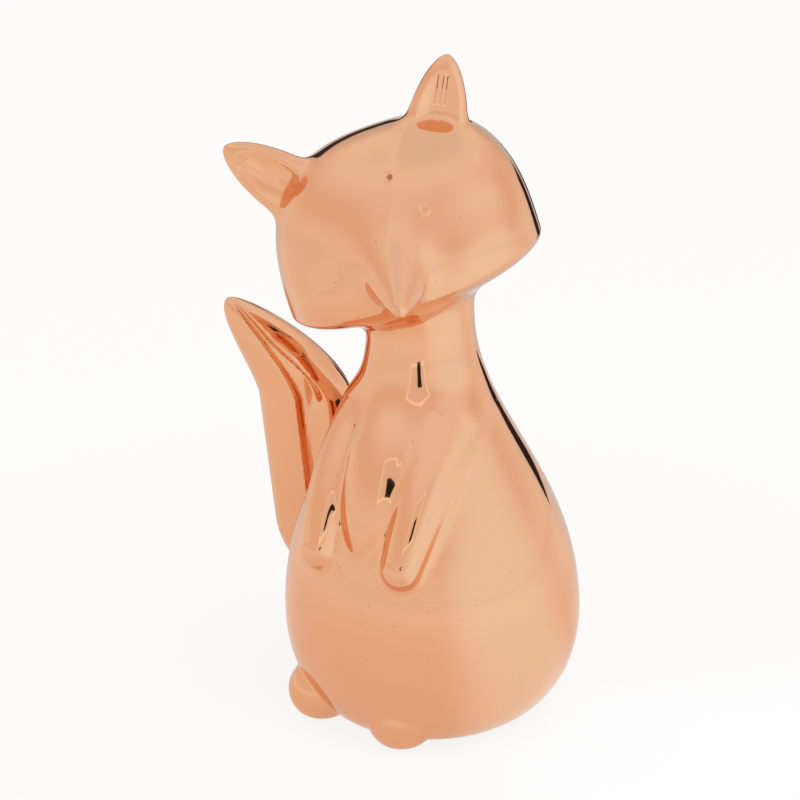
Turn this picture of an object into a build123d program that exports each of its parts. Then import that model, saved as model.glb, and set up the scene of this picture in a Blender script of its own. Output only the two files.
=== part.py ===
from build123d import *
import math
import os

# Sitting fox figurine: hollow slip-cast torso and head, with solid bib, arms, feet, ears and tail luted on.
# Millimetres. The fox faces -Y, its left side is +X, and it stands on the plane Z = 0.

# Cast walls
WALL = 4.0

# Torso: a pear turned about an axis that leans forward
BASE_RADIUS = 24.4
BELLY_RADIUS = 44.5
BELLY_HEIGHT = 30.5
NECK_RADIUS = 15.6
NECK_HEIGHT = 124.0
SHOULDER_PULL = 41.8
NECK_PULL = 31.8
TORSO_LEAN = 4.0
TORSO_SET_BACK = 0.4

# Underside of the torso
GROUND_ALLOWANCE = 3.0
FOOT_RING_WIDTH = 5.0
FOOT_RING_HEIGHT = 1.2
VENT_DIAMETER = 10.0

# Head: a dome with a high crown and flat cheeks, turned and tilted on the neck
HEAD_CENTRE = (-2.8, -13.2, 148.2)
HEAD_TURN = 32.5
HEAD_TILT = -20.5
HEAD_HALF_WIDTH = 37.6
CROWN_HEIGHT = 43.0
JAW_DEPTH = 9.0
CHEEK_DROP = 10.8
NAPE_DEPTH = 32.0
FACE_DEPTH = 28.5
CROWN_SQUARENESS = 2.7
CROWN_LEAN = 3.0
JAW_SQUARENESS = 2.0
HEAD_SECTION_POINTS = 24

# Muzzle: a blunt cone that runs forward and down from inside the dome
NOSE_REACH = 40.8
NOSE_DROP = 9.1
NOSE_RADIUS = 2.2
MUZZLE_ROOT_REACH = 6.0
MUZZLE_ROOT_RISE = 4.0
MUZZLE_ROOT_RADIUS = 20.0

# Ears: pointed cups on the crown, pressed on by hand and so not quite alike
LEFT_EAR_OFFSET = 15.9
LEFT_EAR_SPLAY = 29.5
LEFT_EAR_LENGTH = 29.4
RIGHT_EAR_OFFSET = 20.4
RIGHT_EAR_SPLAY = 38.5
RIGHT_EAR_LENGTH = 28.0
EAR_SEAT_HEIGHT = 19.0
EAR_FORWARD = 3.0
EAR_HALF_WIDTH = 9.3
EAR_HALF_THICKNESS = 5.2
EAR_POINT = 0.6
EAR_RIM = 2.2
EAR_SCOOP_DEPTH = 3.6
EAR_SCOOP_HALF_LENGTH = 14.0
EAR_SCOOP_PLACE = 12.5

# Chest: arms and bib are turned a little to the left
CHEST_TURN = 6.5

# Bib: a broad tapered roll between the arms
BIB_TIP_HEIGHT = 69.5
BIB_TIP_RADIUS = 6.5
BIB_TIP_RISE = -3.9
BIB_ROOT_ANGLE = 3.0
BIB_ROOT_HEIGHT = 86.0
BIB_ROOT_RADIUS = 14.5
BIB_ROOT_RISE = -10.5

# Arms: tapered rolls of clay lying down the front of the body
ARM_TIP_ANGLE = 19.5
ARM_TIP_HEIGHT = 62.5
ARM_TIP_RADIUS = 5.5
ARM_TIP_RISE = 1.2
ARM_ROOT_ANGLE = 58.0
ARM_ROOT_HEIGHT = 95.0
ARM_ROOT_RADIUS = 7.5
ARM_ROOT_RISE = -6.5

# Feet: two knobs at the front of the base
FOOT_SPACING = 31.5
FOOT_SHIFT = -4.0
FOOT_SINK = 7.6
FOOT_RADIUS = 10.8
FOOT_HALF_HEIGHT = 8.8
FOOT_CENTRE_HEIGHT = 7.0

# Tail: a folded leaf that rises beside the right flank
TAIL_ROOT = (-27.0, 16.0, 10.0)
TAIL_RISE = (-46.4, 1.4, 46.0)
TAIL_BEND = (-46.5, -5.0, 89.5)
TAIL_TIP = (-62.0, -20.5, 120.5)
TAIL_SWEEP = 1.45
TAIL_FACING = 38.0
TAIL_HALF_WIDTH = 14.2
TAIL_HALF_DEPTH = 9.5
TAIL_POINT = 0.6
TAIL_ROOT_FULLNESS = 0.6
TAIL_GROOVE = 0.6
TAIL_GROOVE_STEEP = 17.0
TAIL_GROOVE_GENTLE = 34.0
TAIL_SECTION_POINTS = 32

STANDING = (Align.CENTER, Align.CENTER, Align.MIN)
HANGING = (Align.CENTER, Align.CENTER, Align.MAX)


def torso_form(inset, floor, top):
    """The pear about its leaning axis, inset by a wall thickness, between a floor and a top height."""
    belly = BELLY_RADIUS - inset
    neck = NECK_RADIUS - inset
    base = BASE_RADIUS - inset
    profile = Line((0, floor), (base, floor))
    profile += EllipticalCenterArc(
        (base, BELLY_HEIGHT), belly - base, BELLY_HEIGHT - floor, -90, arc_size=90
    )
    profile += Bezier(
        (belly, BELLY_HEIGHT),
        (belly, BELLY_HEIGHT + SHOULDER_PULL),
        (neck, NECK_HEIGHT - NECK_PULL),
        (neck, NECK_HEIGHT),
    )
    profile += Polyline((neck, NECK_HEIGHT), (neck, top), (0, top), (0, floor))
    return torso_lean * revolve(Plane.XZ * make_face(profile), Axis.Z)


def torso_radius(height):
    """Outer radius of the torso at a height between the belly and the neck, along its axis."""
    low, high = 0.0, 1.0
    for _ in range(40):
        t = (low + high) / 2
        rise = (
            BELLY_HEIGHT * (1 - t) ** 3
            + 3 * (BELLY_HEIGHT + SHOULDER_PULL) * (1 - t) ** 2 * t
            + 3 * (NECK_HEIGHT - NECK_PULL) * (1 - t) * t ** 2
            + NECK_HEIGHT * t ** 3
        )
        if rise < height:
            low = t
        else:
            high = t
    return BELLY_RADIUS + (NECK_RADIUS - BELLY_RADIUS) * (3 * low ** 2 - 2 * low ** 3)


def base_radius(height):
    """Outer radius of the torso at a height below the belly."""
    return BASE_RADIUS + (BELLY_RADIUS - BASE_RADIUS) * math.sqrt(1 - (1 - height / BELLY_HEIGHT) ** 2)


def on_chest(angle, height, rise):
    """A point on the torso at an angle to the left of its chest, moved out by a rise, before the lean."""
    radius = torso_radius(height) + rise
    turn = math.radians(CHEST_TURN + angle)
    return Vector(radius * math.sin(turn), -radius * math.cos(turn), height)


def clay_roll(tip, tip_radius, root, root_radius):
    """A roll of clay with round ends, tapering from its root to its tip."""
    length = (root - tip).length
    contact = math.degrees(math.acos((tip_radius - root_radius) / length))
    tip_arc = CenterArc((0, 0), tip_radius, 180, contact - 180)
    root_arc = CenterArc((length, 0), root_radius, contact, -contact)
    profile = tip_arc + Line(tip_arc @ 1, root_arc @ 0) + root_arc + Line(root_arc @ 1, tip_arc @ 0)
    along = (root - tip).normalized()
    placed = Plane(origin=tip, x_dir=along, z_dir=along.cross(Vector(1, 0, 0)))
    return placed * revolve(make_face(profile), Axis.X)


def dome_section(share, inset):
    """The dome's outline, inset by a wall, at a share of the way from the nape (-1) to the face (1)."""
    swell = math.sqrt(1 - share ** 2)
    depth = NAPE_DEPTH if share < 0 else FACE_DEPTH
    points = []
    for step in range(HEAD_SECTION_POINTS):
        angle = 2 * math.pi * step / HEAD_SECTION_POINTS
        over, up = math.cos(angle), math.sin(angle)
        height, square = (CROWN_HEIGHT, CROWN_SQUARENESS) if up > 0 else (JAW_DEPTH, JAW_SQUARENESS)
        reach = swell * (abs(over) ** square + abs(up) ** square) ** (-1 / square)
        rise = reach * (height - inset) * up
        sideways = max(0, rise) * math.tan(math.radians(CROWN_LEAN))
        x = reach * (HEAD_HALF_WIDTH - inset) * over + sideways
        points.append((x, -(depth - inset) * share, rise - CHEEK_DROP))
    return make_face(Spline(*points, periodic=True))


def ear_form(offset, splay, length):
    """An ear on the left of the head, pointed like a leaf and scooped out in front."""
    along = Vector(math.sin(math.radians(splay)), 0, math.cos(math.radians(splay)))
    seat = Vector(offset, -EAR_FORWARD, EAR_SEAT_HEIGHT)
    across = Vector(along.Z, 0, -along.X)
    sections = []
    for share in (0, 0.3, 0.55, 0.75, 0.88, 0.96):
        taper = (1 - share ** 2) ** EAR_POINT
        plane = Plane(origin=seat + along * share * length, x_dir=across, z_dir=along)
        sections.append(plane * Ellipse(EAR_HALF_WIDTH * taper, EAR_HALF_THICKNESS * taper))
    tip = seat + along * length
    form = loft(sections + [Vertex(tip.X, tip.Y, tip.Z)])
    thickness = EAR_HALF_THICKNESS * (1 - (EAR_SCOOP_PLACE / length) ** 2) ** EAR_POINT
    scoop = scale(
        Sphere(1),
        by=(EAR_HALF_WIDTH - EAR_RIM, EAR_HALF_THICKNESS, EAR_SCOOP_HALF_LENGTH),
    )
    forward = Pos(0, -(thickness + EAR_HALF_THICKNESS - EAR_SCOOP_DEPTH), 0)
    middle = Plane(origin=seat + along * EAR_SCOOP_PLACE, x_dir=across, z_dir=along)
    return form - middle.location * forward * scoop


def tail_line(height):
    """A point on the straight line through the tail's rise and bend."""
    rise, bend = Vector(*TAIL_RISE), Vector(*TAIL_BEND)
    return rise + (bend - rise) * ((height - rise.Z) / (bend.Z - rise.Z))


def tail_section(share):
    """The tail's kidney outline at a share of its height from the root (0) to the tip (1)."""
    root, rise, bend, tip = TAIL_ROOT[2], TAIL_RISE[2], TAIL_BEND[2], TAIL_TIP[2]
    height = root + share * (tip - root)
    below = max(0, (rise - height) / (rise - root))
    sweep = max(0, (height - bend) / (tip - bend))
    centre = tail_line(height)
    centre += (Vector(*TAIL_ROOT) - tail_line(root)) * below ** 2
    centre += (Vector(*TAIL_TIP) - tail_line(tip)) * sweep ** TAIL_SWEEP
    fullness = (1 - (1 - TAIL_ROOT_FULLNESS) * below ** 2) * (1 - sweep ** 2) ** TAIL_POINT
    plane = Plane(origin=(centre.X, centre.Y, height)).rotated((0, 0, TAIL_FACING))
    points = []
    for step in range(TAIL_SECTION_POINTS):
        angle = 360 * step / TAIL_SECTION_POINTS
        side = TAIL_GROOVE_STEEP if angle < 270 else TAIL_GROOVE_GENTLE
        groove = 1 - TAIL_GROOVE * math.exp(-(((angle - 270) / side) ** 2))
        points.append(
            (
                TAIL_HALF_WIDTH * fullness * math.cos(math.radians(angle)),
                TAIL_HALF_DEPTH * fullness * groove * math.sin(math.radians(angle)),
            )
        )
    return plane * make_face(Spline(*points, periodic=True))


torso_lean = Pos(0, TORSO_SET_BACK, 0) * Rot(TORSO_LEAN, 0, 0)
head_pose = Pos(*HEAD_CENTRE) * Rot(0, 0, HEAD_TURN) * Rot(0, HEAD_TILT, 0)
ground = Cylinder(2 * BELLY_RADIUS, BELLY_HEIGHT, align=HANGING)

# Head casting
dome_shares = [math.sin(math.radians(angle)) for angle in (-88, -76, -60, -40, -20, 0, 20, 40, 60, 76, 88)]
muzzle = clay_roll(
    Vector(0, -NOSE_REACH, -NOSE_DROP),
    NOSE_RADIUS,
    Vector(0, -MUZZLE_ROOT_REACH, MUZZLE_ROOT_RISE),
    MUZZLE_ROOT_RADIUS,
)
head_outer = head_pose * (loft([dome_section(share, 0) for share in dome_shares]) + muzzle)
head_hollow = head_pose * loft([dome_section(share, WALL) for share in dome_shares])
drain = torso_lean * Pos(0, 0, NECK_HEIGHT) * Cylinder(
    NECK_RADIUS - WALL, HEAD_CENTRE[2] - NECK_HEIGHT, align=STANDING
)
head = head_outer - head_hollow - drain

# Torso casting, with its neck fitted to the underside of the head
torso_outer = torso_form(0, 0, HEAD_CENTRE[2]) + torso_lean * Cylinder(
    BASE_RADIUS, GROUND_ALLOWANCE, align=HANGING
)
torso_hollow = torso_form(WALL, FOOT_RING_HEIGHT + WALL, HEAD_CENTRE[2])
recess = Cylinder(BASE_RADIUS - FOOT_RING_WIDTH, FOOT_RING_HEIGHT, align=STANDING)
vent = Cylinder(VENT_DIAMETER / 2, BELLY_HEIGHT, align=STANDING)
torso = torso_outer - torso_hollow - head_outer - ground - recess - vent

# Bib, arms, feet, ears and tail, each cut to the form that it is luted to
bib_roll = torso_lean * clay_roll(
    on_chest(0, BIB_TIP_HEIGHT, BIB_TIP_RISE),
    BIB_TIP_RADIUS,
    on_chest(BIB_ROOT_ANGLE, BIB_ROOT_HEIGHT, BIB_ROOT_RISE),
    BIB_ROOT_RADIUS,
)
pieces = {"torso": torso, "head": head, "chest_bib": bib_roll - torso_outer}
ears = {
    "left": ear_form(LEFT_EAR_OFFSET, LEFT_EAR_SPLAY, LEFT_EAR_LENGTH),
    "right": mirror(ear_form(RIGHT_EAR_OFFSET, RIGHT_EAR_SPLAY, RIGHT_EAR_LENGTH), about=Plane.YZ),
}
foot_forward = base_radius(FOOT_CENTRE_HEIGHT) - FOOT_SINK
for side, sign in (("left", 1), ("right", -1)):
    arm = torso_lean * clay_roll(
        on_chest(sign * ARM_TIP_ANGLE, ARM_TIP_HEIGHT, ARM_TIP_RISE),
        ARM_TIP_RADIUS,
        on_chest(sign * ARM_ROOT_ANGLE, ARM_ROOT_HEIGHT, ARM_ROOT_RISE),
        ARM_ROOT_RADIUS,
    )
    knob = scale(Sphere(1), by=(FOOT_RADIUS, FOOT_RADIUS, FOOT_HALF_HEIGHT))
    foot = Pos(sign * FOOT_SPACING / 2 + FOOT_SHIFT, -foot_forward, FOOT_CENTRE_HEIGHT) * knob
    pieces[side + "_arm"] = arm - torso_outer - bib_roll
    pieces[side + "_foot"] = foot - torso_outer - ground
    pieces[side + "_ear"] = head_pose * ears[side] - head_outer

tail_shares = [0, 0.12, 0.25, 0.42, 0.58, 0.72, 0.82, 0.9, 0.95, 0.985]
tail_form = loft([tail_section(share) for share in tail_shares] + [Vertex(*TAIL_TIP)])
pieces["tail"] = tail_form - torso_outer

os.makedirs("parts", exist_ok=True)
for name, piece in pieces.items():
    export_step(piece, f"parts/{name}.step")
    print(name, len(piece.solids()), round(piece.volume), piece.is_valid)
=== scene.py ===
import math

import bmesh
import bpy
import numpy as np
from mathutils import Matrix, Vector


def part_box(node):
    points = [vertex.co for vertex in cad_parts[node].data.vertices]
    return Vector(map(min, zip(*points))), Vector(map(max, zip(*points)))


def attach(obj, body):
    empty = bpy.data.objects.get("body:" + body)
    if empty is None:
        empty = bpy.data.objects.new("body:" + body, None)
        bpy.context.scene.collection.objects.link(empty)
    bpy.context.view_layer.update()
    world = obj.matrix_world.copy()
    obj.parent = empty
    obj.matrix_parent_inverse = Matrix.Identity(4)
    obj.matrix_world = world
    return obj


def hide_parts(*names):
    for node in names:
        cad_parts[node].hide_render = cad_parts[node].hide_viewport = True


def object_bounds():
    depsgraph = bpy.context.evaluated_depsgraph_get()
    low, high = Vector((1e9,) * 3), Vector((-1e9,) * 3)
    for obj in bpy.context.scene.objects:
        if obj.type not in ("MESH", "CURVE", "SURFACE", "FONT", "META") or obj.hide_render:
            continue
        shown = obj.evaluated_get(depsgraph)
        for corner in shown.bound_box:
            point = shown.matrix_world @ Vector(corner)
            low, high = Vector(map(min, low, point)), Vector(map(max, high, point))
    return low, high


# Sitting fox figurine in glazed ceramic with a bright copper plating.
# Sizes are in millimetres, as in the solids, and meshes are written in metres.
# Every clay form is a level function, and soft unions of them give the fillets that slip and glaze leave
# at the joints. The glazed surface is then meshed once and cut at the joints into the separate pieces.
# Left and right are the fox's own.

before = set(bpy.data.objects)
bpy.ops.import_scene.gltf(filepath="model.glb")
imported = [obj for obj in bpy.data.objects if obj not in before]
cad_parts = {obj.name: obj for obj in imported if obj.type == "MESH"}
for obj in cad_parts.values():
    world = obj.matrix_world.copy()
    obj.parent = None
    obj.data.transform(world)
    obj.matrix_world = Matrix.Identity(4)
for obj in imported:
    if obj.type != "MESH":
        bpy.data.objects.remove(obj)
cad_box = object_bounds()

MM = 0.001

# Torso
BASE_RADIUS = 24.4
BELLY_RADIUS = 44.5
BELLY_HEIGHT = 30.5
NECK_RADIUS = 15.6
NECK_HEIGHT = 124.0
SHOULDER_PULL = 41.8
NECK_PULL = 31.8
TORSO_LEAN = 4.0
TORSO_SET_BACK = 0.4

# Underside
FOOT_RING_WIDTH = 5.0
FOOT_RING_HEIGHT = 1.2
VENT_RADIUS = 5.0
VENT_DEPTH = 16.0

# Head
HEAD_CENTRE = np.array((-2.8, -13.2, 148.2))
HEAD_TURN = 32.5
HEAD_TILT = -20.5
HEAD_HALF_WIDTH = 37.6
CROWN_HEIGHT = 43.0
JAW_DEPTH = 9.0
CHEEK_DROP = 10.8
NAPE_DEPTH = 32.0
FACE_DEPTH = 28.5
CROWN_SQUARENESS = 2.7
CROWN_LEAN = 3.0
JAW_SQUARENESS = 2.0

# Muzzle and cheeks, with a fine ridge that bends as it runs up the face
NOSE = np.array((0.0, -40.8, -9.1))
NOSE_RADIUS = 2.2
MUZZLE_ROOT = np.array((0.0, -6.0, 4.0))
MUZZLE_ROOT_RADIUS = 20.0
RIDGE_HEIGHT = 0.8
RIDGE_WIDTH = 2.4
RIDGE_ROUNDING = 0.5
RIDGE_BEND = 0.0085
CHEEK_CENTRE = np.array((17.0, -13.0, -5.0))
CHEEK_SIZE = np.array((13.0, 12.0, 8.5))

# Ears, bib and tail are leaves that taper to a point by a power, up to this share of the way
LEAF_END = 0.9995

# Ears: offset of the seat, splay and length of each
LEFT_EAR = (15.9, 29.5, 29.4)
RIGHT_EAR = (-20.4, -38.5, 28.0)
EAR_SEAT_HEIGHT = 19.0
EAR_FORWARD = 3.0
EAR_HALF_WIDTH = 9.3
EAR_HALF_THICKNESS = 5.2
EAR_POINT = 0.6
EAR_RIM = 2.2
EAR_SCOOP_DEPTH = 3.6
EAR_SCOOP_HALF_LENGTH = 18.0
EAR_SCOOP_PLACE = 13.0
EAR_RIB_HEIGHT = 0.3
EAR_RIB_WIDTH = 1.0

# Bib and arms: a place on the chest is its angle to the left, its height and its rise off the torso
CHEST_TURN = 6.5
BIB_MIDDLE = (-1.0, 83.0, -4.0)
BIB_HALF_SIZE = np.array((11.0, 8.0, 24.5))
BIB_POINT = 0.75
BIB_EDGE = 0.3
BIB_EDGE_END = 0.96
LEFT_ARM_TIP = (19.5, 62.5, 1.2)
LEFT_ARM_ROOT = (58.0, 95.0, -8.5)
RIGHT_ARM_TIP = (-22.0, 62.5, 1.2)
RIGHT_ARM_ROOT = (-58.0, 95.0, -8.5)
ARM_TIP_RADIUS = 5.5
ARM_ROOT_RADIUS = 9.5
ARM_BOW = 3.4

# Feet
FOOT_SPACING = 30.4
FOOT_SHIFT = -4.2
FOOT_FORWARD = 31.0
FOOT_SIZE = np.array((10.2, 10.2, 9.6))
FOOT_CENTRE_HEIGHT = 7.8

# Tail
TAIL_ROOT = np.array((-27.0, 16.0, 10.0))
TAIL_RISE = np.array((-46.4, 1.4, 46.0))
TAIL_BEND = np.array((-46.5, -5.0, 89.5))
TAIL_TIP = np.array((-62.0, -20.5, 120.5))
TAIL_SWEEP = 1.45
TAIL_FACING = 38.0
TAIL_HALF_WIDTH = 14.2
TAIL_HALF_DEPTH = 9.5
TAIL_POINT = 0.6
TAIL_ROOT_FULLNESS = 0.6

# The tail's groove, each pair below the fold and above it. Places are degrees round from the leaf's front
FOLD_LEAD = 8.0
FOLD_SHARE = 2 / 3
GROOVE_DEPTH = (0.26, 0.2)
GROOVE_EDGE = -12.0
GROOVE_DROP = 9.0
GROOVE_BED = (0.0, -3.0)
GROOVE_BED_WIDENING = 15.0
GROOVE_RIM = (36.0, 16.0)
GROOVE_RIM_RISE = (0.26, 0.12)
LEAF_SIDE = 90.0

# Fillets of slip and glaze where forms meet. Pairs widen from a tight crease to a soft root
BIB_FILLET = (2.0, 8.0)
BIB_FILLET_HEIGHTS = (91.0, 107.5)
ARM_FILLET = (4.5, 9.0)
ARM_FILLET_HEIGHTS = (85.5, 104.5)
MUZZLE_FILLET = (3.0, 15.0)
CHEEK_FILLET = 9.0
FOOT_FILLET = 1.4
NECK_FILLET = 15.0
EAR_FILLET = 5.0
SCOOP_FILLET = 1.0
TAIL_FILLET = 4.0
BASE_FILLET = 1.6
RECESS_FILLET = 0.8

# Mesh: the lattice and how near it is worked out, then the slopes and rounds that settle its points
LATTICE_PITCH = 0.7
LATTICE_MARGIN = 4
COARSE_STEP = 3
EXACT_BAND = 2.6
FORM_REACH = 16.0
OUT_OF_REACH = 60.0
SLOPE_STEP = 0.01
LEAST_SLOPE = 1e-4
LEAST_PULL = 0.2
SETTLE_ROUNDS = 3
RELAX_ROUNDS = 2
SHOULDER_SHARES = 400
SHOULDER_ROUNDS = 2

# Finish: colours, roughness, and how far up the clay is bare, in metres
PALE_COPPER = (0.885, 0.50, 0.292, 1)
DEEP_COPPER = (0.85, 0.46, 0.262, 1)
PIT_BROWN = (0.45, 0.18, 0.08, 1)
BARE_CLAY = (0.62, 0.55, 0.47, 1)
PLATING_ROUGHNESS = 0.045
PLATING_ROUGHNESS_SPREAD = 0.03
CLAY_ROUGHNESS = 0.6
BARE_HEIGHT = 0.00035

# Skin of the glaze, in metres or per metre, with depths as shares of its relief
SKIN_RELIEF = 0.00018
SWELL_SCALE = 70
PEEL_SCALE = 420
PEEL_DEPTH = 0.03
TONE_SCALE = 24
PATCH_SCALE = 55
PINHOLE_SCALE = 520
PINHOLE_RARITY = 1.32
PINHOLE_SHARPNESS = 8.5
PINHOLE_DEPTH = 0.25
PINHOLE_STAIN = 1.6

# Flaws of the firing on the brow, in metres, with radii from the outer edge inwards and depths as the skin's
KILN_PIT = (0.00662, -0.0318, 0.17005)
KILN_PIT_RADII = (0.0019, 0.0010)
KILN_PIT_DEPTH = 3.0
KILN_PIT_CORE = (0.00725, -0.0314, 0.1701)
KILN_PIT_CORE_RADII = (0.0012, 0.0007)
BLISTER = (0.01749, -0.0296, 0.16243)
BLISTER_RADIUS = 0.0014
BLISTER_SHARPNESS = 1800
BLISTER_RISE = 0.8

# Camera
VIEW_AZIMUTH = 38.0
VIEW_ELEVATION = 20.0
VIEW_DISTANCE = 650.0
VIEW_TARGET = Vector((-8.6, -6.7, 95.6))
VIEW_FOCAL_PIXELS = 2211.0
IMAGE_PIXELS = 800.0
SENSOR_WIDTH = 36.0

# Tent round the figurine: its colours from the foot up, on the lit side, behind, and as the camera sees it
TENT_FOOT = (0.92, 0.87, 0.84, 1)
TENT_SIDE = (0.86, 0.74, 0.69, 1)
TENT_SHOULDER = (0.93, 0.92, 0.93, 1)
TENT_TOP = (0.86, 0.86, 0.89, 1)
LIT_TENT = (0.97, 1.03, 1.08, 1)
UNLIT_TENT = (0.62, 0.6, 0.6, 1)
WHITE = (1, 1, 1, 1)

# Rises of the tent's wall between its colours, then azimuth and nearness of its lit side and its back
SIDE_RISE = (0.0, 0.3)
SHOULDER_RISE = (0.4, 0.75)
TOP_RISE = (0.8, 0.98)
LIT_SIDE = (VIEW_AZIMUTH + 55, 0.6, 0.97)
UNLIT_SIDE = (VIEW_AZIMUTH + 180, 0.55, 0.95)

# Floor, in metres: its painted shade and copper glow near the figurine, painted light on its lit side, and
# how much it glows for the camera and in the plating
FLOOR_HALF_SIZE = 2.0
FLOOR_CLEARING = (0.06, 0.32)
PAINTED_GLOW_AND_SHADE_FLOOR = (0.89, 0.77, 0.71, 1)
PAINTED_LIGHT_FLOOR_LIT_SIDE = (0.96, 1.0, 1.03, 1)
FLOOR_GLOW_SEEN = 0.85
FLOOR_GLOW_MIRRORED = 0.7

# Soft lamp above
SOFTBOX_AZIMUTH = VIEW_AZIMUTH + 40
SOFTBOX_ELEVATION = 60.0
SOFTBOX_DISTANCE = 900.0
SOFTBOX_WIDTH = 500.0
SOFTBOX_WATTS = 2.0


def rotation(axis, degrees):
    """Rotation matrix about one axis."""
    return np.array(Matrix.Rotation(math.radians(degrees), 3, axis))


def between(ends, share):
    """The value at a share of the way from one end to the other."""
    return ends[0] + (ends[1] - ends[0]) * share


def smooth_step(low, high, value):
    """Rises smoothly from 0 at low to 1 at high."""
    share = np.clip((value - low) / (high - low), 0, 1)
    return share * share * (3 - 2 * share)


def soft_min(a, b, fillet):
    """The lesser of two distances, rounded where they are close."""
    overlap = np.maximum(fillet - np.abs(a - b), 0) / fillet
    return np.minimum(a, b) - overlap ** 3 * fillet / 6


def join(a, b, fillet):
    """Soft union of two forms, each given as its distances and its outward directions."""
    overlap = np.maximum(fillet - np.abs(a[0] - b[0]), 0) / fillet
    share = np.where(b[0] < a[0], 1 - overlap ** 2 / 2, overlap ** 2 / 2)[:, None]
    return soft_min(a[0], b[0], fillet), a[1] * (1 - share) + b[1] * share


def cut(a, b, fillet):
    """Form a with form b taken out of it, and the edge rounded."""
    distance, way = join((-a[0], -a[1]), b, fillet)
    return -distance, -way


def form_of(level):
    """Distances and outward directions of a level function, which is divided by its own slope."""
    def form(points):
        here = level(points)
        steps = np.eye(3) * SLOPE_STEP
        slope = np.stack([(level(points + step) - here) / SLOPE_STEP for step in steps], axis=1)
        size = np.maximum(np.linalg.norm(slope, axis=1), LEAST_SLOPE)
        return here / size, slope / size[:, None]
    return form


torso_turn = rotation("X", TORSO_LEAN)
torso_foot = np.array((0, TORSO_SET_BACK, 0))
head_turn = rotation("Z", HEAD_TURN) @ rotation("Y", HEAD_TILT)

# The shoulder line from belly to neck, as a cubic curve in its own share
shoulder_stops = (BELLY_HEIGHT, BELLY_HEIGHT + SHOULDER_PULL, NECK_HEIGHT - NECK_PULL, NECK_HEIGHT)
shoulder_shares = np.linspace(0, 1, SHOULDER_SHARES)


def shoulder_height(t):
    """Height of the shoulder line at a share of its way."""
    a, b, c, d = shoulder_stops
    return a * (1 - t) ** 3 + 3 * b * (1 - t) ** 2 * t + 3 * c * (1 - t) * t ** 2 + d * t ** 3


def torso_radius(height):
    """Radius of the torso between belly and neck."""
    a, b, c, d = shoulder_stops
    t = np.interp(height, shoulder_height(shoulder_shares), shoulder_shares)
    for _ in range(SHOULDER_ROUNDS):
        pace = 3 * ((b - a) * (1 - t) ** 2 + 2 * (c - b) * (1 - t) * t + (d - c) * t ** 2)
        t = np.clip(t - (shoulder_height(t) - np.clip(height, a, d)) / pace, 0, 1)
    return between((BELLY_RADIUS, NECK_RADIUS), 3 * t ** 2 - 2 * t ** 3)


def torso_level(points):
    """The pear, round below the belly and drawn in to the neck above it."""
    x, y, z = ((points - torso_foot) @ torso_turn).T
    radius = np.hypot(x, y)
    swell = BELLY_RADIUS - BASE_RADIUS
    low = np.hypot(np.maximum(radius - BASE_RADIUS, 0) / swell, (BELLY_HEIGHT - z) / BELLY_HEIGHT)
    pear = np.where(z < BELLY_HEIGHT, (low - 1) * swell, radius - torso_radius(z))
    return np.maximum(pear, z - HEAD_CENTRE[2])


def clay_roll(tip, tip_radius, root, root_radius, bow=(0, 0, 0)):
    """Level of a roll of clay with round ends, tapering from its root to its tip and bowed in between."""
    length = np.linalg.norm(root - tip)
    along = (root - tip) / length
    lean = (tip_radius - root_radius) / length
    lean = lean / math.sqrt(1 - lean ** 2)

    def level(points):
        place = (points - tip) @ along
        share = np.clip(place / length, 0, 1)
        points = points - np.multiply.outer(4 * share * (1 - share), np.array(bow))
        place = (points - tip) @ along
        away = np.linalg.norm(points - tip - place[:, None] * along, axis=1)
        share = np.clip((place - away * lean) / length, 0, 1)
        return np.hypot(away, place - share * length) - between((tip_radius, root_radius), share)
    return level


muzzle_level = clay_roll(NOSE, NOSE_RADIUS, MUZZLE_ROOT, MUZZLE_ROOT_RADIUS)


def head_level(points):
    """A dome with a high crown and gently swelling cheeks, and a muzzle that grows out of a ridged face."""
    local = (points - HEAD_CENTRE) @ head_turn
    x, y, z = local.T
    up = z + CHEEK_DROP
    over = x - np.maximum(up, 0) * math.tan(math.radians(CROWN_LEAN))
    square = np.where(up > 0, CROWN_SQUARENESS, JAW_SQUARENESS)
    height = np.where(up > 0, CROWN_HEIGHT, JAW_DEPTH)
    around = (np.abs(over / HEAD_HALF_WIDTH) ** square + np.abs(up / height) ** square) ** (1 / square)
    depth = np.where(y > 0, NAPE_DEPTH, FACE_DEPTH)
    dome = (np.hypot(around, y / depth) - 1) * FACE_DEPTH
    cheek = np.stack((np.abs(x), y, z), axis=1) - CHEEK_CENTRE
    cheek = (np.linalg.norm(cheek / CHEEK_SIZE, axis=1) - 1) * CHEEK_SIZE[2]
    brow = smooth_step(NOSE[1] + 2 * NOSE_RADIUS, -FACE_DEPTH / 2, y)
    aside = np.hypot(x - RIDGE_BEND * np.maximum(z - NOSE[2], 0) ** 2, RIDGE_ROUNDING)
    ridge = RIDGE_HEIGHT * np.exp(-aside / RIDGE_WIDTH) * smooth_step(0, FACE_DEPTH / 2, -y)
    face = soft_min(dome, cheek, CHEEK_FILLET)
    return soft_min(face, muzzle_level(local), between(MUZZLE_FILLET, brow)) - ridge


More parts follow.
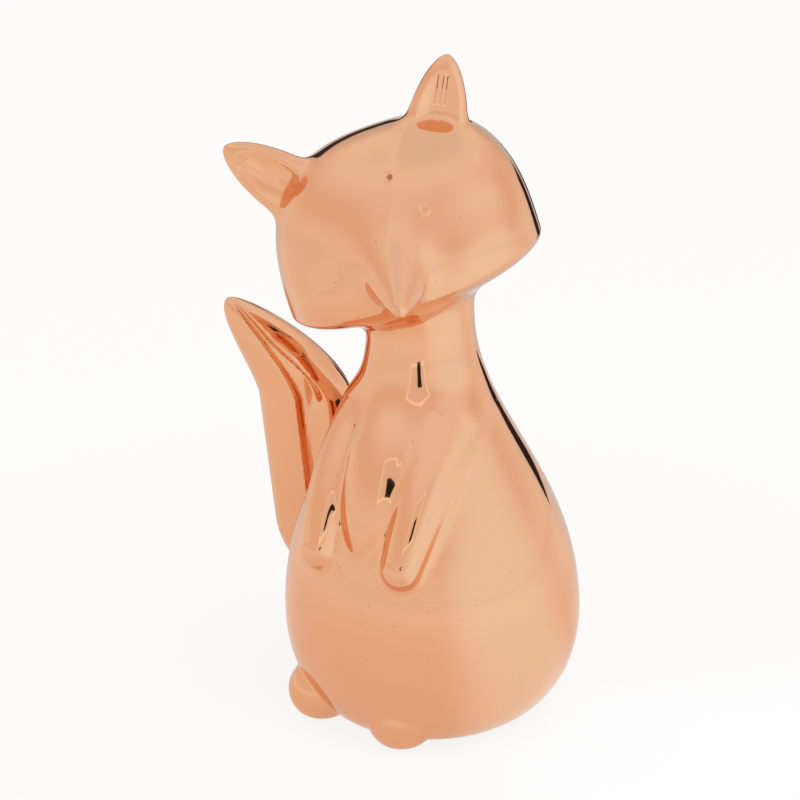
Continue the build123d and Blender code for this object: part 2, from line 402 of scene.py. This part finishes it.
def ear_level(offset, splay, length):
    """A pointed leaf on the crown, scooped out in front with a fine rib up the scoop."""
    lean = math.radians(splay)
    along_way = np.array((math.sin(lean), 0, math.cos(lean)))
    across_way = np.array((math.cos(lean), 0, -math.sin(lean)))
    seat = np.array((offset, -EAR_FORWARD, EAR_SEAT_HEIGHT))
    thickness = EAR_HALF_THICKNESS * (1 - (EAR_SCOOP_PLACE / length) ** 2) ** EAR_POINT
    front = -(thickness + EAR_HALF_THICKNESS - EAR_SCOOP_DEPTH)

    def level(points):
        local = (points - HEAD_CENTRE) @ head_turn - seat
        across, through, along = local @ across_way, local[:, 1], local @ along_way
        taper = (1 - np.clip(along / length, 0, LEAF_END) ** 2) ** EAR_POINT
        leaf = np.hypot(across / EAR_HALF_WIDTH, through / EAR_HALF_THICKNESS) - taper
        leaf = leaf * EAR_HALF_THICKNESS + np.maximum(along - length, 0)
        rib = EAR_RIB_HEIGHT * np.exp(-((across / EAR_RIB_WIDTH) ** 2))
        scoop = np.sqrt(
            (across / (EAR_HALF_WIDTH - EAR_RIM)) ** 2
            + ((through + rib - front) / EAR_HALF_THICKNESS) ** 2
            + ((along - EAR_SCOOP_PLACE) / EAR_SCOOP_HALF_LENGTH) ** 2
        )
        return -soft_min(-leaf, (scoop - 1) * EAR_HALF_THICKNESS, SCOOP_FILLET)
    return level


def on_chest(angle, height, rise):
    """A point on the torso at an angle to the left of its chest, moved out by a rise."""
    radius = torso_radius(np.array((height,)))[0] + rise
    turn = math.radians(CHEST_TURN + angle)
    upright = np.array((radius * math.sin(turn), -radius * math.cos(turn), height))
    return torso_turn @ upright + torso_foot


def bib_level():
    """A leaf of fur down the chest, round at the throat and pointed below."""
    angle, height, rise = BIB_MIDDLE
    centre = on_chest(angle, height, rise)
    up = on_chest(angle, height + 1, rise) - on_chest(angle, height - 1, rise)
    up = up / np.linalg.norm(up)
    side = np.cross((0, 0, 1), up)
    side = side / np.linalg.norm(side)
    turn = np.stack((side, np.cross(side, up), up), axis=1)

    def level(points):
        across, out, along = (((points - centre) @ turn) / BIB_HALF_SIZE).T
        taper = (1 - np.clip(along, -LEAF_END, 0) ** 2) ** BIB_POINT
        edge = (1 - np.clip(along, -BIB_EDGE_END, 0) ** 2) ** BIB_EDGE
        leaf = np.hypot(np.hypot(across, out * edge), np.maximum(along, 0)) - taper
        return leaf * BIB_HALF_SIZE[1] + np.maximum(-1 - along, 0) * BIB_HALF_SIZE[2]
    return level


def arm_level(tip_place, root_place):
    """A roll of clay down one side of the chest, bowed outwards."""
    tip = on_chest(*tip_place)
    root = on_chest(*root_place)
    outward = (tip + root) / 2 * (1, 1, 0)
    bow = outward / np.linalg.norm(outward) * ARM_BOW
    return clay_roll(tip, ARM_TIP_RADIUS, root, ARM_ROOT_RADIUS, bow)


def foot_level(side):
    """A knob of clay at the front of the base, on the left for side 1 and on the right for side -1."""
    centre = np.array((side * FOOT_SPACING / 2 + FOOT_SHIFT, -FOOT_FORWARD, FOOT_CENTRE_HEIGHT))
    return lambda points: np.linalg.norm((points - centre) / FOOT_SIZE, axis=1) - 1


def tail_line(height):
    """Points on the straight line through the tail's rise and bend."""
    share = (np.asarray(height) - TAIL_RISE[2]) / (TAIL_BEND[2] - TAIL_RISE[2])
    return TAIL_RISE[:2] + np.multiply.outer(share, (TAIL_BEND - TAIL_RISE)[:2])


def groove_relief(height, off_front):
    """The groove and its rim: a lobe on the right, a drop to the bed, and a wall up to a rim on the left."""
    bend, tip = TAIL_BEND[2], TAIL_TIP[2]
    fold = smooth_step(bend - FOLD_LEAD, between((bend, tip), FOLD_SHARE), height)
    bed = between(GROOVE_BED, fold) + GROOVE_BED_WIDENING * 4 * fold * (1 - fold)
    rim = between(GROOVE_RIM, fold)
    drop = smooth_step(GROOVE_EDGE, GROOVE_EDGE + GROOVE_DROP, off_front)
    wall = smooth_step(bed, rim, off_front)
    rise = between(GROOVE_RIM_RISE, fold) * wall * (1 - smooth_step(rim, LEAF_SIDE, off_front))
    return rise - between(GROOVE_DEPTH, fold) * drop * (1 - wall)


def tail_level(points):
    """A folded leaf that rises from the flank, bends and sweeps out to its point."""
    height = points[:, 2]
    root, sway, bend, tip = TAIL_ROOT[2], TAIL_RISE[2], TAIL_BEND[2], TAIL_TIP[2]
    below = np.clip((sway - height) / (sway - root), 0, 1)
    sweep = np.clip((height - bend) / (tip - bend), 0, LEAF_END)
    centre = tail_line(height)
    centre = centre + np.multiply.outer(below ** 2, TAIL_ROOT[:2] - tail_line(root))
    centre = centre + np.multiply.outer(sweep ** TAIL_SWEEP, TAIL_TIP[:2] - tail_line(tip))
    fullness = (1 - (1 - TAIL_ROOT_FULLNESS) * below ** 2) * (1 - sweep ** 2) ** TAIL_POINT
    facing = math.radians(TAIL_FACING)
    offset = points[:, :2] - centre
    across = offset @ np.array((math.cos(facing), math.sin(facing))) / TAIL_HALF_WIDTH
    through = offset @ np.array((-math.sin(facing), math.cos(facing))) / TAIL_HALF_DEPTH
    off_front = np.degrees(np.arcsin(np.clip(across / fullness, -1, 1)))
    groove = np.where(through < 0, 1 + groove_relief(height, off_front), 1)
    beyond = np.maximum(height - tip, 0) + np.maximum(root - height, 0)
    return (np.hypot(across, through / groove) - fullness) * TAIL_HALF_DEPTH + beyond


levels = {
    "torso": torso_level,
    "head": head_level,
    "chest_bib": bib_level(),
    "left_arm": arm_level(LEFT_ARM_TIP, LEFT_ARM_ROOT),
    "right_arm": arm_level(RIGHT_ARM_TIP, RIGHT_ARM_ROOT),
    "left_foot": foot_level(1),
    "right_foot": foot_level(-1),
    "left_ear": ear_level(*LEFT_EAR),
    "right_ear": ear_level(*RIGHT_EAR),
    "tail": tail_level,
}
forms = {node: form_of(level) for node, level in levels.items()}
boxes = {node: [np.array(corner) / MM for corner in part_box(node)] for node in levels}


def clay_forms(points):
    """Distances and directions from each point to every clay form, worked out only near it."""
    result = {}
    for node, form in forms.items():
        low, high = boxes[node]
        close = np.all((points > low - FORM_REACH) & (points < high + FORM_REACH), axis=1)
        distance = np.full(len(points), OUT_OF_REACH)
        way = np.zeros((len(points), 3))
        distance[close], way[close] = form(points[close])
        result[node] = distance, way
    return result


def ground_form(points):
    """All that lies below the base."""
    return points[:, 2], np.tile((0.0, 0.0, 1.0), (len(points), 1))


def cylinder(radius, top):
    """Level of an upright cylinder under the middle of the base."""
    return lambda points: np.maximum(np.hypot(points[:, 0], points[:, 1]) - radius, points[:, 2] - top)


recess_form = form_of(cylinder(BASE_RADIUS - FOOT_RING_WIDTH, FOOT_RING_HEIGHT))
vent_form = form_of(cylinder(VENT_RADIUS, VENT_DEPTH))


def surface(points):
    """Distance to the glazed surface of the whole figurine, and its outward direction."""
    clay = clay_forms(points)
    height = points[:, 2]
    arm_fillet = between(ARM_FILLET, smooth_step(*ARM_FILLET_HEIGHTS, height))
    bib_fillet = between(BIB_FILLET, smooth_step(*BIB_FILLET_HEIGHTS, height))
    body = join(clay["torso"], clay["chest_bib"], bib_fillet)
    for side in ("left", "right"):
        body = join(body, clay[side + "_arm"], arm_fillet)
        body = join(body, clay[side + "_foot"], FOOT_FILLET)
    body = join(body, clay["tail"], TAIL_FILLET)
    head = join(join(clay["head"], clay["left_ear"], EAR_FILLET), clay["right_ear"], EAR_FILLET)
    body = join(body, head, NECK_FILLET)
    body = cut(body, ground_form(points), BASE_FILLET)
    body = cut(body, recess_form(points), RECESS_FILLET)
    return cut(body, vent_form(points), RECESS_FILLET)


def sample(low, high):
    """The surface's distances on a fine lattice, worked out exactly only near the surface."""
    counts = (np.ceil((high - low) / (LATTICE_PITCH * COARSE_STEP)) * COARSE_STEP).astype(int) + 1
    places = [low[axis] + LATTICE_PITCH * np.arange(counts[axis]) for axis in range(3)]
    coarse_places = [place[::COARSE_STEP] for place in places]
    coarse_points = np.stack(np.meshgrid(*coarse_places, indexing="ij"), -1)
    values = surface(coarse_points.reshape(-1, 3))[0].reshape(coarse_points.shape[:3])
    for axis in range(3):
        order = np.arange(counts[axis]) / COARSE_STEP
        below = np.minimum(order.astype(int), values.shape[axis] - 2)
        share = (order - below).reshape([-1 if k == axis else 1 for k in range(3)])
        values = np.take(values, below, axis) * (1 - share) + np.take(values, below + 1, axis) * share
    close = np.argwhere(np.abs(values) < EXACT_BAND)
    values[tuple(close.T)] = surface(low + close * LATTICE_PITCH)[0]
    return values


def net_points(values, cells):
    """A point for each cell that the zero surface passes, in the middle of where its edges cross it."""
    total = np.zeros((len(cells), 3))
    crossings = np.zeros(len(cells))
    for corner in np.ndindex(2, 2, 2):
        for axis, ahead in enumerate(np.eye(3, dtype=int)):
            if corner[axis] == 1:
                continue
            start = values[tuple((cells + corner).T)]
            end = values[tuple((cells + corner + ahead).T)]
            cross = (start < 0) != (end < 0)
            share = start[cross] / (start[cross] - end[cross])
            total[cross] += cells[cross] + corner + share[:, None] * ahead
            crossings[cross] += 1
    return total / crossings[:, None]


def surface_net(values, low):
    """Points and four-sided faces of the zero surface of a lattice of values."""
    inside = values < 0
    shape = np.array(values.shape)
    count = np.zeros(shape - 1, dtype=int)
    for corner in np.ndindex(2, 2, 2):
        count += inside[tuple(slice(start, start + size) for start, size in zip(corner, shape - 1))]
    cells = np.argwhere((count > 0) & (count < 8))
    index = np.full(shape - 1, -1)
    index[tuple(cells.T)] = np.arange(len(cells))
    faces = []
    ahead = np.eye(3, dtype=int)
    for axis in range(3):
        one, two = (axis + 1) % 3, (axis + 2) % 3
        edges = np.argwhere(np.diff(inside.astype(int), axis=axis) != 0)
        edges = edges[(edges[:, one] > 0) & (edges[:, two] > 0)]
        edges = edges[(edges[:, one] < shape[one] - 1) & (edges[:, two] < shape[two] - 1)]
        around = [edges - a * ahead[one] - b * ahead[two] for a, b in ((1, 1), (0, 1), (0, 0), (1, 0))]
        quads = np.stack([index[tuple(cell.T)] for cell in around], axis=1)
        outward = inside[tuple(edges.T)]
        faces.append(np.where(outward[:, None], quads, quads[:, ::-1]))
    return low + LATTICE_PITCH * net_points(values, cells), np.concatenate(faces)


def settle(points):
    """Moves points straight onto the glazed surface."""
    for _ in range(SETTLE_ROUNDS):
        distance, way = surface(points)
        shift = distance / np.maximum((way ** 2).sum(axis=1), LEAST_PULL)
        points = points - np.clip(shift, -LATTICE_PITCH, LATTICE_PITCH)[:, None] * way
    return points


def relax(points, faces):
    """Evens out the faces by moving each point towards the middle of its neighbours."""
    starts = faces.ravel()
    ends = np.roll(faces, -1, axis=1).ravel()
    total = np.zeros_like(points)
    count = np.zeros(len(points))
    for a, b in ((starts, ends), (ends, starts)):
        np.add.at(total, a, points[b])
        np.add.at(count, a, 1)
    return settle((points + total / count[:, None]) / 2)


def triangles_of(points, faces):
    """Splits four-sided faces along their shorter diagonal."""
    first = np.linalg.norm(points[faces[:, 0]] - points[faces[:, 2]], axis=1)
    second = np.linalg.norm(points[faces[:, 1]] - points[faces[:, 3]], axis=1)
    turned = np.where((first <= second)[:, None], faces, np.roll(faces, -1, axis=1))
    return np.concatenate((turned[:, (0, 1, 2)], turned[:, (0, 2, 3)]))


def cut_out(points, triangles, level):
    """The part of a mesh where a level is below zero, cut along its zero line."""
    below = level < 0
    count = below[triangles].sum(axis=1)
    made = {}
    extra = []

    def crossing(a, b):
        """Number of the point where the edge from a to b crosses the zero line."""
        key = (min(a, b), max(a, b))
        if key not in made:
            share = level[a] / (level[a] - level[b])
            made[key] = len(points) + len(extra)
            extra.append(points[a] + share * (points[b] - points[a]))
        return made[key]

    kept = [tuple(triangle) for triangle in triangles[count == 3]]
    for triangle in triangles[(count == 1) | (count == 2)]:
        lone = below[triangle].sum() == 1
        turn = int(np.argmax(below[triangle] == lone))
        a, b, c = np.roll(triangle, -turn)
        ab, ac = crossing(a, b), crossing(a, c)
        if lone:
            kept.append((a, ab, ac))
        else:
            kept.extend(((ab, b, c), (ab, c, ac)))
    every = np.concatenate((points, np.array(extra).reshape(-1, 3)))
    used, again = np.unique(np.array(kept), return_inverse=True)
    return every[used], again.reshape(-1, 3)


def closed_mesh(name, points, triangles):
    """A mesh with its open joints closed by a fan, and the surface's own normals."""
    mesh = bpy.data.meshes.new(name)
    mesh.from_pydata((points * MM).tolist(), [], triangles.tolist())
    work = bmesh.new()
    work.from_mesh(mesh)
    rims = [edge for edge in work.edges if edge.is_boundary]
    lids = bmesh.ops.holes_fill(work, edges=rims, sides=0)["faces"]
    bmesh.ops.poke(work, faces=lids)
    work.to_mesh(mesh)
    work.free()
    mesh.polygons.foreach_set("use_smooth", np.ones(len(mesh.polygons), dtype=bool))
    every = np.empty(len(mesh.vertices) * 3)
    mesh.vertices.foreach_get("co", every)
    normals = surface(every.reshape(-1, 3) / MM)[1]
    normals /= np.maximum(np.linalg.norm(normals, axis=1), LEAST_SLOPE)[:, None]
    mesh.normals_split_custom_set_from_vertices(normals.tolist())
    return mesh


class Field:
    """A socket in a shader, with the operators that build Math nodes."""

    def __init__(self, shader, socket):
        self.shader = shader
        self.socket = socket

    def math(self, operation, *others):
        """A Math node on this value and others."""
        return self.shader.node("ShaderNodeMath", {"operation": operation}, self, *others)

    def __add__(self, other):
        return self.math("ADD", other)

    def __mul__(self, other):
        return self.math("MULTIPLY", other)

    def __sub__(self, other):
        return self.math("SUBTRACT", other)

    def __rsub__(self, other):
        return self.shader.node("ShaderNodeMath", {"operation": "SUBTRACT"}, other, self)

    __radd__ = __add__
    __rmul__ = __mul__


class Shader:
    """A material's or the world's node tree."""

    def __init__(self, owner):
        owner.use_nodes = True
        self.tree = owner.node_tree
        self.tree.nodes.clear()

    def node(self, kind, settings=None, *inputs, out=0, **named):
        """Adds a node: its settings first, then sockets by order or by name. Gives one of its outputs."""
        node = self.tree.nodes.new(kind)
        for name, value in (settings or {}).items():
            setattr(node, name, value)
        sockets = list(zip(range(len(inputs)), inputs))
        sockets += [
            (int(name) if name.isdigit() else name.replace("_", " "), value) for name, value in named.items()
        ]
        for key, value in sockets:
            if isinstance(value, Field):
                self.tree.links.new(value.socket, node.inputs[key])
            else:
                node.inputs[key].default_value = value
        return Field(self, node.outputs[out]) if node.outputs else node

    def mix(self, share, a, b):
        """Mixes two colours."""
        return self.node("ShaderNodeMix", {"data_type": "RGBA"}, out=2, Factor=share, **{"6": a, "7": b})

    def smooth(self, value, low, high):
        """Rises smoothly from 0 at low to 1 at high."""
        return self.node("ShaderNodeMapRange", {"interpolation_type": "SMOOTHSTEP"}, value, low, high)

    def vector(self, operation, *inputs, out="Value"):
        """A Vector Math node."""
        return self.node("ShaderNodeVectorMath", {"operation": operation}, *inputs, out=out)

    def noise(self, place, scale, detail):
        """A soft noise over a place."""
        return self.node("ShaderNodeTexNoise", None, Vector=place, Scale=scale, Detail=detail)


def plated_glaze():
    """Bright copper plating over a glaze with an uneven skin and pinholes, and bare clay underneath."""
    material = bpy.data.materials.new("plated_glaze")
    shader = Shader(material)
    place = shader.node("ShaderNodeTexCoord", out="Object")
    height = shader.node("ShaderNodeSeparateXYZ", None, place, out="Z")
    swell = shader.noise(place, SWELL_SCALE, detail=1)
    peel = shader.noise(place, PEEL_SCALE, detail=2)
    tone = shader.noise(place, TONE_SCALE, detail=3)
    patch = shader.noise(place, PATCH_SCALE, detail=0)
    spot = shader.node("ShaderNodeTexVoronoi", None, Vector=place, Scale=PINHOLE_SCALE, out="Distance")
    chance = shader.node("ShaderNodeTexVoronoi", None, Vector=place, Scale=PINHOLE_SCALE, out="Color")
    chance = shader.node("ShaderNodeSeparateColor", None, chance, out="Red")
    chosen = chance.math("GREATER_THAN", PINHOLE_RARITY - patch)
    pinhole = (1 - spot * PINHOLE_SHARPNESS).math("MAXIMUM", 0.0) * chosen
    crater = shader.smooth(shader.vector("DISTANCE", place, KILN_PIT), *KILN_PIT_RADII)
    core = shader.smooth(shader.vector("DISTANCE", place, KILN_PIT_CORE), *KILN_PIT_CORE_RADII)
    off_ring = (shader.vector("DISTANCE", place, BLISTER) - BLISTER_RADIUS).math("ABSOLUTE")
    ring = (1 - off_ring * BLISTER_SHARPNESS).math("MAXIMUM", 0.0)
    skin = swell + peel * PEEL_DEPTH - pinhole * PINHOLE_DEPTH
    skin = skin - crater * KILN_PIT_DEPTH + ring * BLISTER_RISE
    normal = shader.node("ShaderNodeBump", None, Strength=1.0, Distance=SKIN_RELIEF, Height=skin)
    copper = shader.mix(tone, PALE_COPPER, DEEP_COPPER)
    copper = shader.mix((pinhole * PINHOLE_STAIN + core).math("MINIMUM", 1.0), copper, PIT_BROWN)
    bare = height.math("LESS_THAN", BARE_HEIGHT)
    plating = shader.node(
        "ShaderNodeBsdfPrincipled", None,
        Base_Color=shader.mix(bare, copper, BARE_CLAY),
        Metallic=1 - bare,
        Roughness=PLATING_ROUGHNESS + tone * PLATING_ROUGHNESS_SPREAD + bare * CLAY_ROUGHNESS,
        Normal=normal,
    )
    shader.node("ShaderNodeOutputMaterial", None, plating)
    return material


def add_object(name, data):
    """Puts a mesh, a camera or a lamp into the scene."""
    item = bpy.data.objects.new(name, data)
    bpy.context.scene.collection.objects.link(item)
    return item


def build_pieces():
    """Meshes the glazed surface and cuts it into the figurine's pieces."""
    margin = LATTICE_MARGIN * LATTICE_PITCH
    low, high = (np.array(corner) / MM for corner in cad_box)
    points, faces = surface_net(sample(low - margin, high + margin), low - margin)
    points = settle(points)
    for _ in range(RELAX_ROUNDS):
        points = relax(points, faces)
    triangles = triangles_of(points, faces)
    distances = np.stack([clay[0] for clay in clay_forms(points).values()], axis=1)
    finish = plated_glaze()
    for column, node in enumerate(levels):
        nearest_other = np.delete(distances, column, axis=1).min(axis=1)
        own_points, own_triangles = cut_out(points, triangles, distances[:, column] - nearest_other)
        mesh = closed_mesh(node, own_points, own_triangles)
        mesh.materials.append(finish)
        piece = add_object(node + "_glazed", mesh)
        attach(piece, "root")
        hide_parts(node)


def toward(azimuth, elevation):
    """Direction from the figurine, by azimuth from the front towards its left and elevation."""
    a, e = math.radians(azimuth), math.radians(elevation)
    return Vector((math.sin(a) * math.cos(e), -math.cos(a) * math.cos(e), math.sin(e)))


def stand_off(item, azimuth, elevation, distance):
    """Moves a camera or a lamp away from the view's target and turns it back to it."""
    out = toward(azimuth, elevation)
    item.location = (VIEW_TARGET + out * distance) * MM
    item.rotation_euler = out.to_track_quat("Z", "Y").to_euler()


def add_camera():
    """The photograph's view."""
    data = bpy.data.cameras.new("camera")
    data.sensor_width = SENSOR_WIDTH
    data.lens = SENSOR_WIDTH * VIEW_FOCAL_PIXELS / IMAGE_PIXELS
    camera = add_object("camera", data)
    stand_off(camera, VIEW_AZIMUTH, VIEW_ELEVATION, VIEW_DISTANCE)
    bpy.context.scene.camera = camera


def add_sheet(name, corners, material):
    """A flat sheet of the studio, with four corners in metres."""
    mesh = bpy.data.meshes.new(name)
    mesh.from_pydata([tuple(corner) for corner in corners], [], [(0, 1, 2, 3)])
    mesh.materials.append(material)
    return add_object(name, mesh)


def add_card(name, azimuth, elevation, distance, width, height, colour):
    """A plain card of a given angular size round the figurine, which shows only in its reflections."""
    out = toward(azimuth, elevation)
    side = toward(azimuth + 90, 0) * math.tan(math.radians(width / 2)) * distance
    rise = out.cross(toward(azimuth + 90, 0)) * math.tan(math.radians(height / 2)) * distance
    centre = VIEW_TARGET + out * distance
    corners = (centre - side - rise, centre + side - rise, centre + side + rise, centre - side + rise)
    material = bpy.data.materials.new(name)
    shader = Shader(material)
    glow = shader.node("ShaderNodeEmission", None, Color=(*colour, 1), Strength=1.0)
    shader.node("ShaderNodeOutputMaterial", None, glow)
    card = add_sheet(name, [corner * MM for corner in corners], material)
    for ray in ("camera", "diffuse", "shadow", "transmission"):
        setattr(card, "visible_" + ray, False)


def add_tent_openings():
    """The tent's front panel with its slit for the camera, and the dark gaps behind the figurine."""
    # Each with its azimuth and elevation, its distance, its width and height in degrees, and its colour
    front = VIEW_AZIMUTH
    add_card("panel_edge", front - 6, 11.5, 160, 26, 23, (1.12, 1.10, 1.07))
    add_card("panel", front - 6, 11.5, 155, 23, 20, (0.84, 0.79, 0.76))
    add_card("panel_slit", front - 3, 5.9, 147, 6.5, 10.5, (0.02, 0.015, 0.01))
    add_card("gap_right", front + 142, -6, 600, 14, 34, (0.03, 0.02, 0.02))
    add_card("gap_top", front + 198, 23, 600, 60, 14, (0.05, 0.04, 0.04))
    add_card("gap_low", front + 165, -4, 600, 18, 12, (0.05, 0.04, 0.04))


def facing(shader, way, azimuth, low, high):
    """Rises to 1 where a direction comes near an azimuth."""
    return shader.smooth(shader.vector("DOT_PRODUCT", way, tuple(toward(azimuth, 0))), low, high)


def add_floor():
    """A pale floor that keeps the figurine's shadow, with painted shade and copper glow near the figurine,
    painted light on its lit side and painted shade behind it, which show mostly in the plating.
    """
    material = bpy.data.materials.new("floor")
    shader = Shader(material)
    seen = shader.node("ShaderNodeLightPath", out="Is Camera Ray")
    mirrored = shader.node("ShaderNodeLightPath", out="Is Glossy Ray")
    place = shader.node("ShaderNodeTexCoord", out="Object")
    outward = shader.vector("NORMALIZE", place, out="Vector")
    # Painted shade and copper glow on the floor near the figurine, fading to the far colours further out
    clear = shader.smooth(shader.vector("LENGTH", place), *FLOOR_CLEARING)
    # Painted light on the floor's lit side, both near the figurine and further out
    lit = facing(shader, outward, *LIT_SIDE)
    near = shader.mix(lit, PAINTED_GLOW_AND_SHADE_FLOOR, PAINTED_LIGHT_FLOOR_LIT_SIDE)
    pale = shader.mix(clear, near, shader.mix(lit, TENT_FOOT, LIT_TENT))
    # Painted shade on the floor behind the figurine, seen in the plating's reflections
    glow = shader.mix(facing(shader, outward, *UNLIT_SIDE), pale, UNLIT_TENT)
    glow = shader.mix(seen, glow, WHITE)
    matt = shader.node("ShaderNodeBsdfDiffuse", None, Color=pale)
    glowing = shader.node("ShaderNodeEmission", None, Color=glow, Strength=1.0)
    share = seen * FLOOR_GLOW_SEEN + mirrored * FLOOR_GLOW_MIRRORED
    mixed = shader.node("ShaderNodeMixShader", None, share, matt, glowing)
    shader.node("ShaderNodeOutputMaterial", None, mixed)
    half = FLOOR_HALF_SIZE
    corners = ((-half, -half, 0), (half, -half, 0), (half, half, 0), (-half, half, 0))
    floor = add_sheet("floor", corners, material)


def light_tent():
    """A white tent all round, brightest on one side and dim behind the figurine."""
    world = bpy.data.worlds.new("tent")
    bpy.context.scene.world = world
    shader = Shader(world)
    way = shader.node("ShaderNodeTexCoord", out="Generated")
    up = shader.node("ShaderNodeSeparateXYZ", None, way, out="Z")
    seen = shader.node("ShaderNodeLightPath", out="Is Camera Ray")
    tent = shader.mix(shader.smooth(up, *SIDE_RISE), TENT_FOOT, TENT_SIDE)
    tent = shader.mix(facing(shader, way, *LIT_SIDE), tent, LIT_TENT)
    tent = shader.mix(shader.smooth(up, *SHOULDER_RISE), tent, TENT_SHOULDER)
    tent = shader.mix(shader.smooth(up, *TOP_RISE), tent, TENT_TOP)
    tent = shader.mix(facing(shader, way, *UNLIT_SIDE), tent, UNLIT_TENT)
    tent = shader.mix(seen, tent, WHITE)
    glow = shader.node("ShaderNodeBackground", None, Color=tent, Strength=1.0)
    shader.node("ShaderNodeOutputWorld", None, glow)


def add_softbox():
    """One large soft lamp above, which doesn't show in the plating."""
    data = bpy.data.lights.new("softbox", "AREA")
    data.shape = "RECTANGLE"
    data.size = SOFTBOX_WIDTH * MM
    data.size_y = SOFTBOX_WIDTH * MM
    data.energy = SOFTBOX_WATTS
    lamp = add_object("softbox", data)
    lamp.visible_glossy = False
    stand_off(lamp, SOFTBOX_AZIMUTH, SOFTBOX_ELEVATION, SOFTBOX_DISTANCE)


build_pieces()
add_camera()
add_floor()
add_tent_openings()
light_tent()
add_softbox()
bpy.context.scene.view_settings.view_transform = "Standard"
